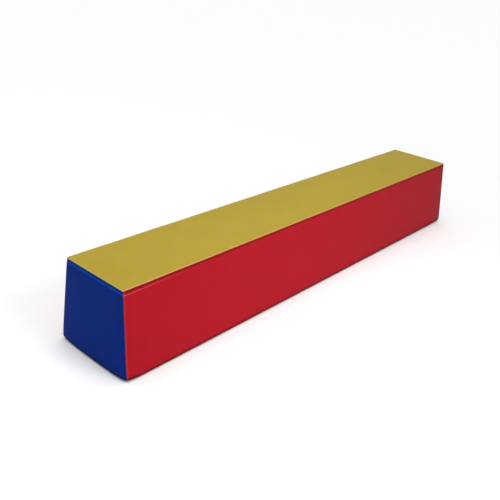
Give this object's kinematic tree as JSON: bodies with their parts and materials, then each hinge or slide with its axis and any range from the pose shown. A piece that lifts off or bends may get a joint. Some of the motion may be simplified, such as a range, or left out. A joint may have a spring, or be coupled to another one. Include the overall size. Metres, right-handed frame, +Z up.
{
  "type": "balance beam",
  "caption": "Soft-play balance beam: a trapezoid foam block in a sewn vinyl cover with a yellow top, red sides, blue ends and a zip along the base.",
  "frame": {"origin": "centre of the footprint, on the plane that the base rests on", "axes": "+X along the beam towards its far end, +Y towards the rear side panel, +Z up"},
  "size_m": [1.8, 0.2984, 0.27],
  "materials": {
    "foam": "open-cell polyurethane foam",
    "yellow_vinyl": "matte-satin grained vinyl",
    "red_vinyl": "matte-satin grained vinyl",
    "blue_vinyl": "matte-satin grained vinyl",
    "base_vinyl": "matte dimpled anti-slip vinyl",
    "zip_tape": "woven polyester",
    "zip_teeth": "satin moulded acetal",
    "zip_stop": "satin",
    "slider_metal": "black enamel",
    "puller_metal": "black enamel"
  },
  "bodies": {
    "beam": {"foam_core": "foam", "top_panel": "yellow_vinyl", "front_side_panel": "red_vinyl", "rear_side_panel": "red_vinyl", "near_end_panel": "blue_vinyl", "far_end_panel": "blue_vinyl", "base_panel_front": "base_vinyl", "base_panel_rear": "base_vinyl", "zip_tape_front": "zip_tape", "zip_tape_rear": "zip_tape", "zip_teeth_front": "zip_teeth", "zip_teeth_rear": "zip_teeth", "zip_top_stops": "zip_stop", "zip_bottom_stop": "zip_stop"},
    "slider": {"zip_slider": "slider_metal", "zip_slider_back": "slider_metal"},
    "puller": {"zip_puller": "puller_metal"}
  },
  "joints": [
    {"name": "slider_travel", "type": "slide", "parent": "beam", "child": "slider", "axis": [-1, 0, 0], "range_m": [0, 0.984]},
    {"name": "puller_swing", "type": "hinge", "parent": "slider", "child": "puller", "pos_m": [0.48965, 0, 0.0054], "axis": [0, -1, 0], "range_deg": [0, 175]}
  ]
}
